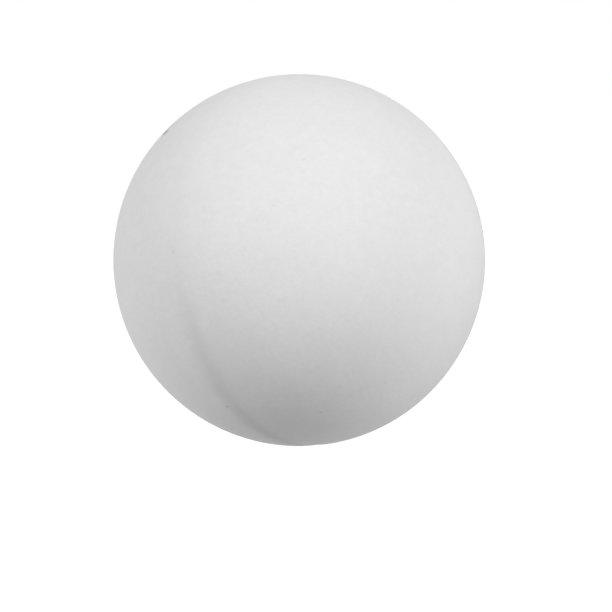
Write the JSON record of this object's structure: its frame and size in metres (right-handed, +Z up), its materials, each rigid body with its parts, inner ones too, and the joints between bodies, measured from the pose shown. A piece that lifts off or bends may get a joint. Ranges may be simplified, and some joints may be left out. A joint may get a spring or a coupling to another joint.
{
  "type": "table tennis ball",
  "caption": "Hollow matt white table tennis ball, two moulded half shells bonded along an inner lap seam.",
  "frame": {"origin": "centre of the ball", "axes": "+X along the common axis of the two half shells, towards the right half; the seam lies in the YZ plane; +Z up"},
  "size_m": [0.04, 0.04, 0.04],
  "materials": {
    "shell_plastic": "matte",
    "adhesive": "satin"
  },
  "bodies": {
    "root": {"left_half_shell": "shell_plastic", "right_half_shell": "shell_plastic", "seam_adhesive": "adhesive"}
  },
  "joints": []
}
